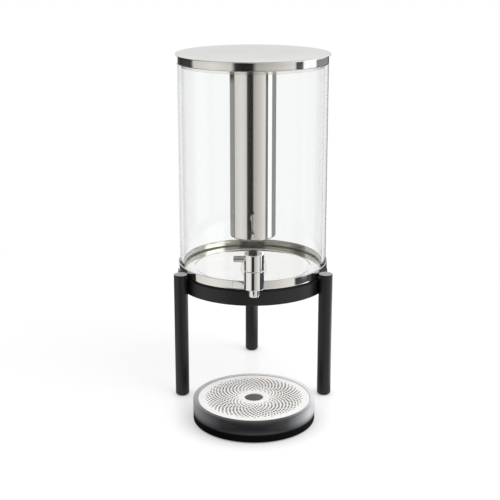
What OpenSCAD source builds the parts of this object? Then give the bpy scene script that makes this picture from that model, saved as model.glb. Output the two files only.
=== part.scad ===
// Gravity-fed drink dispenser: a clear cylinder in a steel pan on a three-legged stand,
// with a lid, an ice tube, a quarter-turn tap and a separate drip tray.
// Lengths are millimetres. +Z is up, Z = 0 is the table and the tap faces -Y.

/* [Cylinder] */
// Outer diameter of the clear cylinder
cyl_d = 200; // [180:1:220]
// Wall of the clear cylinder
cyl_wall = 5; // [3:0.5:7]
// Height of the clear cylinder
cyl_h = 280; // [220:1:360]

/* [Base pan] */
// Sheet thickness of the pan
pan_sheet = 1.5; // [1:0.1:2]
// Height of the pan from its underside to its rim
pan_h = 12.8; // [10:0.1:20]
// Lift of the pan's floor above the channel that holds the cylinder
pan_floor_lift = 2.2; // [1.6:0.1:4]
// Radius of the pan's lower outer edge
pan_edge_r = 2.5; // [1:0.1:4]
// Height of the ring pressed into the pan's floor
pan_bead_h = 0.5; // [0.2:0.1:1]
// Distance of that ring from the floor's edge
pan_bead_inset = 16; // [8:1:40]
// Thickness of the seal under the cylinder
base_seal_h = 1.5; // [1:0.1:3]

/* [Stand] */
// Height of the band's underside above the table
ring_z = 142.6; // [100:0.1:200]
// Height of the band
ring_h = 19; // [15:0.5:30]
// Thickness of the band
ring_wall = 6; // [4:0.5:10]
// How far the band stands out past the pan
ring_proud = 1; // [0.8:0.1:2]
// Diameter of a leg
leg_d = 18.5; // [14:0.5:24]
// Height of a leg above the band
leg_over = 9.8; // [4:0.2:12]
// Chamfer at a leg's top
leg_chamfer = 0.7; // [0.3:0.1:1.5]
// Radius at a leg's lower edge
leg_round = 1.6; // [0.5:0.1:2.5]
// Diameter of a leg screw
screw_d = 6; // [4:0.5:8]
// Length of a leg screw inside its leg
screw_grip = 11; // [6:0.5:13]
// Diameter of a foot glide
foot_d = 13; // [8:0.5:14]
// Height of a foot glide below its leg
foot_h = 1.4; // [0.8:0.1:3]
// Depth of a foot glide in its leg
foot_deep = 5; // [3:0.5:10]
// Thickness of the gasket between band and pan
gasket_h = 1.6; // [1:0.1:3]
// Width of the gasket
gasket_w = 4; // [2:0.5:5]

/* [Lid] */
// Sheet thickness of the lid
lid_sheet = 1.5; // [1:0.1:2]
// Height of the lid's skirt
lid_skirt_h = 10.2; // [8:0.2:20]
// How far the lid's disc stands out past the cylinder
lid_overhang = 2.7; // [1:0.1:5]
// Thickness of the lid's seal
lid_seal_h = 3; // [2:0.2:5]
// Depth of the seal's lip inside the cylinder
lid_lip_h = 4; // [2:0.5:8]
// Thickness of the seal's lip
lid_lip_t = 1.5; // [1:0.1:3]

/* [Ice tube] */
// Outer diameter of the ice tube
tube_d = 62; // [40:1:80]
// Wall of the ice tube
tube_wall = 1.2; // [0.8:0.1:2]
// Clear height between the pan's floor and the ice tube
tube_clear = 43; // [20:1:80]
// Radius at the ice tube's lower edge
tube_edge_r = 2; // [1.5:0.1:4]
// Thickness of the ice tube's bottom
tube_base_h = 3; // [2.5:0.1:6]
// Height of the bayonet collar
collar_h = 20; // [16:1:24]
// Wall of the bayonet collar
collar_wall = 2.6; // [1.5:0.1:4]
// Diameter of a bayonet pin
pin_d = 4; // [3:0.2:5]
// Twist that frees the ice tube, in degrees
tube_twist = 30; // [20:1:40]

/* [Tap] */
// Diameter of the tap's barrel
tap_d = 26; // [25:0.5:32]
// Distance of the barrel's axis from the cylinder's wall
tap_reach = 32; // [26:0.5:45]
// Height of the tap's shank above the pan's rim
tap_lift = 17.5; // [17.5:0.5:30]
// Depth of the tap body below the shank's axis
tap_below = 17; // [15:0.5:24]
// Height of the tap body above the shank's axis
tap_above = 7.4; // [7:0.1:10]
// Height of the knob
knob_h = 21.5; // [20:0.5:30]
// Wall of the knob around the bonnet
knob_wall = 1.3; // [1:0.1:1.5]
// Thickness of the knob's top above the stem
knob_roof = 2; // [1.5:0.1:2.5]
// Chamfer at the knob's top
knob_chamfer = 0.8; // [0.3:0.1:1.4]
// Diameter of the lever
lever_d = 8; // [6:0.2:9]
// Length of the lever outside the knob
lever_out = 13; // [8:0.5:40]
// Depth of the lever's axis below the knob's top
lever_drop = 7.3; // [6:0.1:8]
// Diameter of the lever's tip inside the stem
lever_tip_d = 5; // [3:0.2:5.5]
// Diameter of the plug
plug_d = 15; // [14:0.2:15.4]
// Diameter of the port in the plug
port_d = 6; // [4:0.2:7]
// Section diameter of an O-ring on the plug
oring_d = 1.6; // [1:0.1:2]
// Diameter of the plug's stem
stem_d = 9; // [8:0.2:10]
// Height of the body's neck above the seam
neck_h = 5; // [4:0.1:6]
// Thickness of the bonnet's top
bonnet_t = 3; // [2:0.1:3.2]
// Wall of the bonnet around the neck
bonnet_wall = 1.3; // [1:0.1:1.4]
// Outer diameter of the shank
shank_d = 13; // [11:0.2:13.2]
// Bore of the shank
shank_bore = 8; // [6:0.2:9]
// Depth of the shank in the tap body
shank_deep = 3; // [2:0.1:3.2]
// Length of the shank inside the cylinder
shank_inside = 13; // [12:0.5:20]
// Diameter of the ring that bears on the outer washer
flange_d = 22; // [18:0.5:26]
// Thickness of that ring
flange_t = 3; // [2:0.1:6]
// Diameter of the outer washer
washer_d = 33.6; // [28:0.2:34]
// Diameter of the inner washer
inner_washer_d = 26; // [22:0.5:32]
// Thickness of each washer at its middle
washer_t = 2; // [1.5:0.1:3]
// Size across flats of the nut
nut_af = 20; // [18:0.5:24]
// Thickness of the nut
nut_t = 7; // [5:0.5:9]
// Diameter of the spout
spout_d = 14; // [12:0.5:18]
// Length of the spout below the tap body
spout_h = 10.6; // [8:0.2:30]
// Bore of the spout
spout_bore = 8; // [6:0.2:9]
// Diameter of the spout's threaded end
spigot_d = 11; // [10.5:0.2:12]
// Length of the spout's threaded end
spigot_h = 6; // [4:0.2:7]
// Height and depth of the spout's step
spout_step = 0.7; // [0.5:0.1:2]

/* [Drip tray] */
// Outer diameter of the drip tray
tray_d = 157.4; // [130:0.2:180]
// Height of the drip tray
tray_h = 28.6; // [24:0.2:40]
// Width of the tray's wall
tray_wall = 6.1; // [4:0.1:8]
// Thickness of the tray's floor
tray_floor = 2; // [1.5:0.1:4]
// Height of the black base
tray_base_h = 9; // [5:0.2:12]
// Height of a pad under the base
pad_h = 1; // [0.6:0.1:2]
// Diameter of a pad
pad_d = 14; // [8:0.5:20]
// Number of pads
pad_count = 4; // [3:1:6]
// Width of the ledge under the grille
ledge_w = 3; // [2:0.2:6]
// Thickness of that ledge
ledge_t = 3; // [2:0.2:6]
// Thickness of the grille
grille_t = 1.2; // [0.8:0.1:2]
// Depth of the grille below the rim
grille_recess = 0.4; // [0.2:0.1:2]
// Diameter of the grille's finger hole
finger_d = 24; // [18:0.5:30]
// Plain margin around the finger hole
margin_in = 8; // [4:0.5:14]
// Plain margin at the grille's edge
margin_out = 9; // [6:0.5:14]
// Spread of the holes: each takes an area of PI times its square
hole_spread = 2.45; // [2.2:0.05:3.4]
// Diameter of the smallest holes, along both margins
hole_small = 1.2; // [0.8:0.1:1.6]
// Diameter of the largest holes, a little outside the middle of the field
hole_large = 3.15; // [1.6:0.05:3.4]
// How far the largest holes lie outwards: 1 is the middle of the field
hole_skew = 1.3; // [1:0.1:1.8]
// How slowly the holes grow from a margin: near 0 is at once
hole_ease = 0.3; // [0.1:0.1:1]

/* [Clearances] */
// Gap between parts that are lifted or turned by hand
loose = 0.4; // [0.3:0.05:0.6]
// Gap in a screwed or pressed joint
snug = 0.05; // [0.02:0.01:0.1]
// Gap of the pan's wall around the cylinder
seat_gap = 0.3; // [0.2:0.05:0.6]
// Gap between knob and tap body
knob_gap = 0.3; // [0.2:0.05:0.5]

/* [Hidden] */
$fn = 96;
fine = 720;

// Overshoot of a cutting shape past the face that it opens
cut = 1;
// Angle between one hole of the grille and the next, in degrees
golden_angle = 180 * (3 - sqrt(5));
// Directions of the legs round the stand's axis
leg_angles = [210, 330, 90];
// Places of the ice tube's bayonet pins
pin_angles = [30, 150, 270];

// Radii about the stand's axis
cyl_r = cyl_d / 2;
bore_r = cyl_r - cyl_wall;
pan_in_r = cyl_r + seat_gap;
pan_r = pan_in_r + pan_sheet;
ring_r = pan_r + ring_proud;
ring_in_r = ring_r - ring_wall;
leg_r = leg_d / 2;
screw_seat = ring_in_r + ring_wall / 3;
leg_circle_r = pan_r + loose + leg_r;
gasket_r = ring_r - (ring_wall - gasket_w) / 2;
floor_r = bore_r - loose;
lid_r = cyl_r + lid_overhang;
skirt_in_r = cyl_r - lid_sheet;
lip_r = bore_r - loose;
lid_ring_r = lip_r - lid_lip_t;
tube_r = tube_d / 2;
collar_in_r = tube_r + loose;
collar_r = collar_in_r + collar_wall;

// Heights above the table
ring_top = ring_z + ring_h;
leg_top = ring_top + leg_over;
pan_z = ring_top + gasket_h;
rim_z = pan_z + pan_h;
channel_z = pan_z + pan_sheet;
floor_z = channel_z + pan_floor_lift;
cyl_z = channel_z + base_seal_h;
cyl_top = cyl_z + cyl_h;
skirt_z = cyl_top + loose;
lid_under = skirt_z + lid_skirt_h;
lid_top = lid_under + lid_sheet;
tube_z = floor_z + tube_clear;
tube_top = lid_under - loose;
collar_z = lid_under - collar_h;
pin_z = collar_z + collar_h / 2;
tap_z = rim_z + tap_lift;
body_z = tap_z - tap_below;
seam_z = tap_z + tap_above;
knob_z = seam_z + knob_gap;
knob_top = knob_z + knob_h;
neck_top = seam_z + neck_h;
bonnet_top = neck_top + bonnet_t;
plug_z = body_z + spigot_h + loose;
plug_top = neck_top - loose;
stem_top = knob_top - knob_roof - loose;
lever_z = knob_top - lever_drop;
base_top = pad_h + tray_base_h;
grille_top = tray_h - grille_recess;
ledge_z = grille_top - grille_t;

// Sizes of the tap
tap_r = tap_d / 2;
plug_r = plug_d / 2;
cavity_r = tap_r - knob_wall;
bonnet_r = cavity_r - loose;
neck_r = bonnet_r - bonnet_wall - snug;
bonnet_z = seam_z + loose;
cavity_top = bonnet_top + loose;
shank_hole = shank_d + 2 * snug;
groove_h = oring_d + 2 * snug;
groove_r = plug_r - oring_d - snug;
groove_inset = 2.4;
ring_heights = [plug_z + groove_inset, tap_z + shank_bore / 2 + groove_inset];
lever_root = stem_d / 2 + loose;
nut_r = nut_af / 2 / cos(30);

// Places of the tap and the drip tray in front of the stand's axis
tap_y = -(cyl_r + tap_reach);
washer_y = -(cyl_r + washer_t);
nut_y = -(bore_r - washer_t);
tray_r = tray_d / 2;
tray_in_r = tray_r - tray_wall;
grille_r = tray_in_r - loose;
hole_from = finger_d / 2 + margin_in;
hole_to = grille_r - margin_out;
first_hole = ceil(pow(hole_from / hole_spread, 2));
last_hole = floor(pow(hole_to / hole_spread, 2));

// Place of the stand's axis, with the origin at the middle of the whole footprint
back_reach = leg_circle_r + leg_r;
front_reach = tray_r - tap_y;
axis_y = (front_reach - back_reach) / 2;

// Colours as the photograph shows them
black_coat = [0.16, 0.16, 0.165];
rubber_black = [0.07, 0.07, 0.07];
steel = [0.80, 0.79, 0.77];
chrome = [0.86, 0.86, 0.87];
clear = [0.92, 0.95, 0.96, 0.35];
silicone = [0.88, 0.90, 0.90, 0.7];
brass = [0.78, 0.64, 0.36];
smoky = [0.33, 0.34, 0.36];
white_steel = [0.94, 0.94, 0.93];

// Puts a part on the stand's axis
module on_axis() {
    translate([0, axis_y, 0]) children();
}

// Puts a part on the tap's vertical axis
module on_tap() {
    translate([0, axis_y + tap_y, 0]) children();
}

// Lays a part that is drawn along +Z along the shank, with its Z = 0 at the stand's axis
module along_shank() {
    on_axis() translate([0, 0, tap_z]) rotate([90, 0, 0]) children();
}

// Upright sleeve between two heights
module sleeve(r_out, r_in, z0, z1) {
    translate([0, 0, z0]) difference() {
        cylinder(r = r_out, h = z1 - z0);
        translate([0, 0, -cut]) cylinder(r = r_in, h = z1 - z0 + 2 * cut);
    }
}

// Rectangle of a turned profile
module band(r_in, r_out, z0, z1) {
    translate([r_in, z0]) square([r_out - r_in, z1 - z0]);
}

// What a round of radius rad takes off a corner, drawn for a corner that points to +X and -Y
module corner(rad) {
    difference() {
        translate([-rad, -cut]) square([rad + cut, rad + cut]);
        translate([-rad, rad]) circle(rad);
    }
}

// One leg, with a saddle that fits the band, a screw hole and a recess for its glide
module leg(angle) {
    color(black_coat) on_axis() difference() {
        rotate([0, 0, angle]) translate([leg_circle_r, 0, foot_h]) difference() {
            rotate_extrude() difference() {
                band(0, leg_r, 0, leg_top - foot_h);
                translate([leg_r, 0]) corner(leg_round);
                translate([leg_r - leg_chamfer, leg_top - foot_h]) rotate(-45) square(leg_d);
            }
            translate([0, 0, -cut]) cylinder(d = foot_d + 2 * snug, h = foot_deep + snug + cut);
        }
        translate([0, 0, ring_z - snug]) cylinder(r = ring_r + snug, h = ring_h + 2 * snug);
        rotate([0, 0, angle]) screw_bore(screw_grip + snug);
    }
}

// Radial bore for a leg screw, from inside the band to a depth past its outer face
module screw_bore(depth) {
    translate([0, 0, ring_z + ring_h / 2]) rotate([0, 90, 0])
        cylinder(d = screw_d + 2 * snug, h = ring_r + depth);
}

module stand_ring() {
    color(black_coat) on_axis() difference() {
        rotate_extrude() difference() {
            band(ring_in_r, ring_r, ring_z, ring_top);
            translate([ring_r, ring_z]) corner(leg_chamfer);
            translate([ring_r, ring_top]) mirror([0, 1]) corner(leg_chamfer);
        }
        for (angle = leg_angles) rotate([0, 0, angle]) {
            screw_bore(cut);
            translate([0, 0, ring_z + ring_h / 2]) rotate([0, 90, 0])
                cylinder(d = 2 * screw_d, h = screw_seat);
        }
    }
}

module leg_screws() {
    color(rubber_black) on_axis() for (angle = leg_angles)
        rotate([0, 0, angle]) translate([screw_seat, 0, ring_z + ring_h / 2]) rotate([0, 90, 0])
            difference() {
                union() {
                    cylinder(d = screw_d, h = ring_r - screw_seat + screw_grip);
                    translate([0, 0, -screw_d / 2]) cylinder(d = 1.7 * screw_d, h = screw_d / 2);
                }
                translate([0, 0, -screw_d / 2 - cut])
                    cylinder(d = 0.6 * screw_d, h = screw_d / 3 + cut, $fn = 6);
            }
}

module leg_feet() {
    color(rubber_black) on_axis() for (angle = leg_angles)
        rotate([0, 0, angle]) translate([leg_circle_r, 0, 0]) cylinder(d = foot_d, h = foot_h + foot_deep);
}

module seat_gasket() {
    color(rubber_black) on_axis() sleeve(gasket_r, gasket_r - gasket_w, ring_top, pan_z);
}

// Pan with a channel for the cylinder, a raised mirror floor and a rounded lower edge
module base_pan() {
    color(steel) on_axis() rotate_extrude() {
        difference() {
            band(floor_r - pan_sheet, pan_r, pan_z, rim_z - pan_sheet / 2);
            band(floor_r, pan_in_r, channel_z, rim_z);
            band(0, floor_r + cut, floor_z, rim_z);
            translate([pan_r, pan_z]) corner(pan_edge_r);
        }
        band(0, floor_r, floor_z - pan_sheet, floor_z);
        translate([pan_in_r + pan_sheet / 2, rim_z - pan_sheet / 2]) circle(pan_sheet / 2);
        intersection() {
            translate([floor_r - pan_bead_inset, floor_z - pan_sheet + pan_bead_h]) circle(pan_sheet);
            band(0, floor_r, floor_z - cut / 2, rim_z);
        }
    }
}

module base_seal() {
    color(silicone) on_axis() sleeve(pan_in_r - snug, floor_r + snug, channel_z, cyl_z);
}

module cylinder_wall() {
    color(clear) difference() {
        on_axis() sleeve(cyl_r, bore_r, cyl_z, cyl_top);
        along_shank() cylinder(d = shank_d + 2 * loose, h = cyl_r + cut);
    }
}

// Washer with a flat face towards the tap and a hollow face on the cylinder
module tap_outer_washer() {
    color(silicone) difference() {
        along_shank() translate([0, 0, bore_r]) cylinder(d = washer_d, h = -washer_y - bore_r);
        on_axis() cylinder(r = cyl_r + snug, h = lid_top, $fn = fine);
        along_shank() cylinder(d = shank_hole, h = cyl_r + tap_reach);
    }
}

// Washer with a round face in the cylinder and a flat face towards the nut
module tap_inner_washer() {
    color(silicone) difference() {
        intersection() {
            along_shank() translate([0, 0, -nut_y]) cylinder(d = inner_washer_d, h = cyl_wall);
            on_axis() cylinder(r = bore_r - snug, h = lid_top, $fn = fine);
        }
        along_shank() cylinder(d = shank_hole, h = cyl_r);
    }
}

module tap_nut() {
    color(brass) along_shank() translate([0, 0, -nut_y - nut_t]) difference() {
        cylinder(r = nut_r, h = nut_t, $fn = 6);
        translate([0, 0, -cut]) cylinder(d = shank_hole, h = nut_t + 2 * cut);
    }
}

// Threaded pipe from inside the cylinder into the tap body
module tap_shank() {
    end = -tap_y - tap_r + shank_deep;
    color(chrome) along_shank() difference() {
        translate([0, 0, bore_r - shank_inside]) cylinder(d = shank_d, h = end - bore_r + shank_inside);
        translate([0, 0, bore_r - shank_inside - cut]) cylinder(d = shank_bore, h = -tap_y);
    }
}

// Ring on the shank that bears on the outer washer
module tap_flange() {
    color(chrome) along_shank() sleeve(flange_d / 2, shank_hole / 2, -washer_y, flange_t - washer_y);
}

// Fixed lower half of the barrel, with a neck for the bonnet
module tap_body() {
    color(chrome) difference() {
        on_tap() rotate_extrude() difference() {
            union() {
                band(plug_r + snug, tap_r, body_z, seam_z);
                band(plug_r + snug, neck_r, body_z, neck_top);
                band(spigot_d / 2 + snug, tap_r, body_z, plug_z - loose);
            }
            translate([tap_r, body_z]) corner(knob_chamfer);
        }
        along_shank() translate([0, 0, cyl_r]) cylinder(d = shank_hole, h = tap_reach - tap_r + shank_deep);
        along_shank() translate([0, 0, cyl_r]) cylinder(d = shank_bore, h = tap_reach);
    }
}

module tap_spout() {
    color(chrome) on_tap() rotate_extrude() difference() {
        union() {
            band(spout_bore / 2, spigot_d / 2, body_z - cut, body_z + spigot_h);
            band(spout_bore / 2, spout_d / 2, body_z - spout_h + 2 * spout_step, body_z);
            band(spout_bore / 2, spout_d / 2 - spout_step, body_z - spout_h, body_z);
        }
        translate([spout_d / 2 - spout_step, body_z - spout_h]) corner(spout_step / 2);
        translate([spout_d / 2, body_z - spout_h + 2 * spout_step]) corner(spout_step / 2);
    }
}

// Cap nut over the neck, with a bore for the stem
module tap_bonnet() {
    color(brass) on_tap() rotate_extrude() {
        band(neck_r + snug, bonnet_r, bonnet_z, bonnet_top);
        band(stem_d / 2 + snug, bonnet_r, neck_top, bonnet_top);
    }
}

// Plug with an L-shaped port, which faces +X when the tap is shut
module tap_plug() {
    color(brass) on_tap() difference() {
        rotate_extrude() difference() {
            union() {
                band(0, plug_r, plug_z, plug_top);
                band(0, stem_d / 2, plug_z, stem_top);
            }
            for (h = ring_heights) band(groove_r, plug_r + cut, h - groove_h / 2, h + groove_h / 2);
        }
        translate([0, 0, plug_z - cut]) cylinder(d = port_d, h = tap_z - plug_z + cut);
        translate([0, 0, tap_z]) rotate([0, 90, 0]) cylinder(d = port_d, h = tap_r);
        translate([0, 0, lever_z]) rotate([0, -90, 0]) cylinder(d = lever_tip_d + 2 * snug, h = tap_r);
    }
}

module plug_rings() {
    color(rubber_black) on_tap() for (h = ring_heights)
        rotate_extrude() translate([plug_r - oring_d / 2, h]) circle(d = oring_d, $fn = 32);
}

// Turning upper half of the barrel, hollow over the bonnet
module tap_knob() {
    color(chrome) on_tap() difference() {
        rotate_extrude() difference() {
            band(0, tap_r, knob_z, knob_top);
            band(0, cavity_r, knob_z - cut, cavity_top);
            band(0, stem_d / 2 + snug, knob_z - cut, stem_top + loose);
            translate([tap_r - knob_chamfer, knob_top]) rotate(-45) square(tap_d);
        }
        translate([0, 0, lever_z]) rotate([0, -90, 0]) cylinder(d = lever_d + 2 * snug, h = tap_d);
    }
}

// Round pin through the knob, with a thinner tip in the stem
module tap_lever() {
    length = tap_r + lever_out;
    color(chrome) on_tap() translate([0, 0, lever_z]) rotate([0, -90, 0]) rotate_extrude() difference() {
        union() {
            band(0, lever_tip_d / 2, loose, length);
            band(0, lever_d / 2, lever_root, length);
        }
        translate([lever_d / 2 - knob_chamfer, length]) rotate(-45) square(tap_d);
    }
}

// Flat disc with a rounded edge and a short skirt
module lid_shell() {
    color(steel) on_axis() rotate_extrude() {
        band(0, lid_r - lid_sheet / 2, lid_under, lid_top);
        translate([lid_r - lid_sheet / 2, lid_under + lid_sheet / 2]) circle(lid_sheet / 2);
        band(skirt_in_r, cyl_r, skirt_z, lid_top - lid_sheet / 2);
    }
}

module lid_ring() {
    color(steel) on_axis() sleeve(lid_ring_r, lid_ring_r - lid_sheet, cyl_top + loose, lid_under);
}

// Seal on the cylinder's end, with a collar up to the lid's disc and a lip inside the bore
module lid_seal() {
    color(silicone) on_axis() rotate_extrude() {
        band(lid_ring_r + snug, skirt_in_r - snug, cyl_top, cyl_top + lid_seal_h);
        band(lid_ring_r + snug, lip_r, cyl_top - lid_lip_h, lid_under);
    }
}

// Sector between two angles, tall enough to cut a slot
module sector(r, h, from, to) {
    rotate([0, 0, from]) rotate_extrude(angle = to - from) square([r, h]);
}

// Collar with three L-shaped slots, open downwards at the end where the pins come free
module tube_collar() {
    slot = pin_d + 2 * loose;
    half = asin((slot / 2 + loose) / collar_in_r);
    color(steel) on_axis() difference() {
        sleeve(collar_r, collar_in_r, collar_z, lid_under);
        for (angle = pin_angles) {
            translate([0, 0, pin_z - slot / 2])
                sector(collar_r + cut, slot, angle - half, angle + tube_twist + half);
            rotate([0, 0, angle + tube_twist]) translate([0, -slot / 2, collar_z - cut])
                cube([collar_r + cut, slot, collar_h / 2 + cut]);
        }
    }
}

module ice_tube() {
    color(steel) on_axis() difference() {
        sleeve(tube_r, tube_r - tube_wall, tube_z + tube_base_h, tube_top);
        for (angle = pin_angles) rotate([0, 0, angle]) pin_bore();
    }
}

// Radial hole for a bayonet pin
module pin_bore() {
    translate([tube_r / 2, 0, pin_z]) rotate([0, 90, 0]) cylinder(d = pin_d + 2 * snug, h = tube_r);
}

// Bottom of the ice tube, with a spigot inside the tube and a rounded edge
module tube_base() {
    color(steel) on_axis() rotate_extrude() difference() {
        union() {
            band(0, tube_r, tube_z, tube_z + tube_base_h);
            band(0, tube_r - tube_wall - snug, tube_z, tube_z + 2 * tube_base_h);
        }
        translate([tube_r, tube_z]) corner(tube_edge_r);
        band(0, tube_r - tube_wall - tube_base_h, tube_z + tube_base_h, tube_z + 2 * tube_base_h + cut);
    }
}

module tube_pins() {
    color(steel) on_axis() for (angle = pin_angles) rotate([0, 0, angle])
        translate([tube_r - tube_wall, 0, pin_z]) rotate([0, 90, 0])
            cylinder(d = pin_d, h = collar_r - tube_r + tube_wall);
}

module tray_base() {
    color(rubber_black) on_tap() rotate_extrude() difference() {
        band(0, tray_r, pad_h, base_top);
        translate([tray_r, pad_h]) corner(leg_round);
    }
}

// Frosted wall with a floor, and a ledge that carries the grille
module tray_shell() {
    color(smoky) on_tap() rotate_extrude() difference() {
        band(0, tray_r, base_top, tray_h);
        band(0, tray_in_r, ledge_z, tray_h + cut);
        band(0, tray_in_r - ledge_w, base_top + tray_floor, tray_h + cut);
        band(0, tray_in_r, base_top + tray_floor, ledge_z - ledge_t);
        translate([tray_r, tray_h]) mirror([0, 1]) corner(leg_chamfer);
    }
}

module tray_pads() {
    color(rubber_black) on_tap() for (i = [0 : pad_count - 1]) rotate([0, 0, (i + 0.5) * 360 / pad_count])
        translate([tray_in_r - pad_d / 2, 0, 0]) cylinder(d = pad_d, h = pad_h);
}

// Share of the way from the inner margin to the outer one
function hole_place(r) = max(0, (r - hole_from) / (hole_to - hole_from));

// Diameter of a hole at radius r: small along both margins and large between them
function hole_size(r) = hole_small + (hole_large - hole_small) * pow(hole_swell(r), hole_ease);

// Half a sine wave over the field, from 0 at one margin to 0 at the other
function hole_swell(r) = max(0, sin(180 * pow(hole_place(r), hole_skew)));

// Disc with a finger hole and holes that spread outwards like a sunflower's seeds
module tray_grille() {
    color(white_steel) on_tap() translate([0, 0, ledge_z]) linear_extrude(grille_t) difference() {
        circle(grille_r);
        circle(d = finger_d);
        for (i = [first_hole : last_hole]) {
            r = hole_spread * sqrt(i);
            rotate(i * golden_angle) translate([r, 0]) circle(d = hole_size(r), $fn = 16);
        }
    }
}

stand_ring();
leg(leg_angles[0]);  // leg_left
leg(leg_angles[1]);  // leg_right
leg(leg_angles[2]);  // leg_back
leg_screws();
leg_feet();
seat_gasket();
base_pan();
base_seal();
cylinder_wall();  // cylinder
tap_body();
tap_shank();
tap_flange();
tap_outer_washer();
tap_inner_washer();
tap_nut();
tap_spout();
tap_bonnet();
tap_plug();
plug_rings();
tap_knob();
tap_lever();
lid_shell();
lid_ring();
lid_seal();
tube_collar();
ice_tube();
tube_base();
tube_pins();
tray_base();
tray_shell();
tray_pads();
tray_grille();
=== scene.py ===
import logging
import math
from dataclasses import dataclass, field
from enum import Enum
from functools import reduce
from typing import NamedTuple

import bpy
import numpy as np
from mathutils.geometry import delaunay_2d_cdt
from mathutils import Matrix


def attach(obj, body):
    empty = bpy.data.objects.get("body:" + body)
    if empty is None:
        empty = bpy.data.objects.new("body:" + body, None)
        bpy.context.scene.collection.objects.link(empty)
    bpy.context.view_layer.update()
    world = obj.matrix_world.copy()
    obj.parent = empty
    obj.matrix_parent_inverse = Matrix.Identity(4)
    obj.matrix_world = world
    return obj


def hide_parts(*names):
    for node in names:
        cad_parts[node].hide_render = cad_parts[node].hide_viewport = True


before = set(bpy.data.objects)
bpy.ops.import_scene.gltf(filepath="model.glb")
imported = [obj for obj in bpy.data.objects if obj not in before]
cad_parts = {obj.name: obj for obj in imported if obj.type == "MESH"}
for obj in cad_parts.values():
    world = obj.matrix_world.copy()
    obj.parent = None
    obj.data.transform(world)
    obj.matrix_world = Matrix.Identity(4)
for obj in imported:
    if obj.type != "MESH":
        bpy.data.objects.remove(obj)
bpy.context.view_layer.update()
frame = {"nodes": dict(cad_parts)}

LOG = logging.getLogger("dispenser")

Socket = bpy.types.NodeSocket
Colour = tuple[float, float, float]
Place = tuple[float, float, float]
Span = tuple[float, float]
Corner = tuple[float, ...]

MM = 0.001
STAND_Y = 45.0
TAP_Y = -87.0
STAND_AXIS = (0.0, STAND_Y, 0.0)
TAP_AXIS = (0.0, TAP_Y, 0.0)

FULL_TURN = 2.0 * math.pi
GOLDEN_ANGLE = math.pi * (3.0 - math.sqrt(5.0))
SHARP_ANGLE = math.radians(30.0)
SMALL, MEDIUM, LARGE = 96, 128, 192
ARC_POINTS = 6
FLAT_GAP = 0.15
FLAT_SHARE = 0.2
WELD_GRID = 1e4
CLOSE = 1e-3
TINY = 1e-6

UPRIGHT = np.eye(3)
LIE_FORWARD = np.array([[1.0, 0.0, 0.0], [0.0, 0.0, -1.0], [0.0, 1.0, 0.0]])
LIE_LEFT = np.array([[0.0, 0.0, -1.0], [0.0, 1.0, 0.0], [1.0, 0.0, 0.0]])


# Shapes


class Ring(NamedTuple):
    """A round part's radius inside and outside, and the heights of its ends."""

    inner: float
    outer: float
    low: float
    high: float

    def corners(self, fillet: float) -> list[Corner]:
        """Its section, with the same fillet at every corner."""
        inner, outer, low, high = self
        return [(inner, low, fillet), (outer, low, fillet), (outer, high, fillet), (inner, high, fillet)]


@dataclass
class Surface:
    """Points in millimetres, and the four- and three-sided faces between them."""

    points: np.ndarray
    quads: np.ndarray
    tris: np.ndarray = field(default_factory=lambda: np.zeros((0, 3), int))

    def __add__(self, other: "Surface") -> "Surface":
        """Both surfaces as one, with the other's faces counted on from this one's points.

        Args:
            other: The surface to join on.

        Returns:
            The joined surface.
        """
        step = len(self.points)
        return Surface(
            np.vstack([self.points, other.points]),
            np.vstack([self.quads, other.quads + step]),
            np.vstack([self.tris, other.tris + step]),
        )

    def placed(self, at: Place, turn: np.ndarray = UPRIGHT) -> "Surface":
        """The surface turned about the origin by a matrix, and then moved, in millimetres."""
        return Surface(self.points @ turn.T + np.array(at), self.quads, self.tris)

    def welded(self) -> "Surface":
        """Points that round to the same ten-thousandth of a millimetre become one.

        A quad that loses a corner by it becomes a triangle.

        Returns:
            The closed surface.
        """
        keys = np.round(self.points * WELD_GRID).astype(np.int64)
        _, first, back = np.unique(keys, axis=0, return_index=True, return_inverse=True)
        back = back.reshape(-1)
        quads, tris = back[self.quads], back[self.tris]
        same = quads == np.roll(quads, -1, axis=1)
        lost = same.sum(axis=1)
        extra = quads[lost == 1][~same[lost == 1]].reshape(-1, 3)
        flat = (tris == np.roll(tris, -1, axis=1)).any(axis=1)
        return Surface(self.points[first], quads[lost == 0], np.vstack([tris[~flat], extra]))

    def mesh(self, name: str) -> bpy.types.Mesh:
        """A smooth mesh in metres, with the edges that turn by more than 30 degrees kept sharp.

        Args:
            name: Name of the mesh.

        Returns:
            The new mesh.
        """
        mesh = bpy.data.meshes.new(name)
        mesh.from_pydata((self.points * MM).tolist(), [], self.quads.tolist() + self.tris.tolist())
        mesh.validate()
        mesh.shade_smooth()
        mesh.set_sharp_from_angle(angle=SHARP_ANGLE)
        return mesh


def circle(count: int) -> np.ndarray:
    """Points (cos a, sin a) at even angles."""
    angle = np.linspace(0.0, FULL_TURN, count, endpoint=False)
    return np.stack([np.cos(angle), np.sin(angle)], axis=-1)


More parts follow.
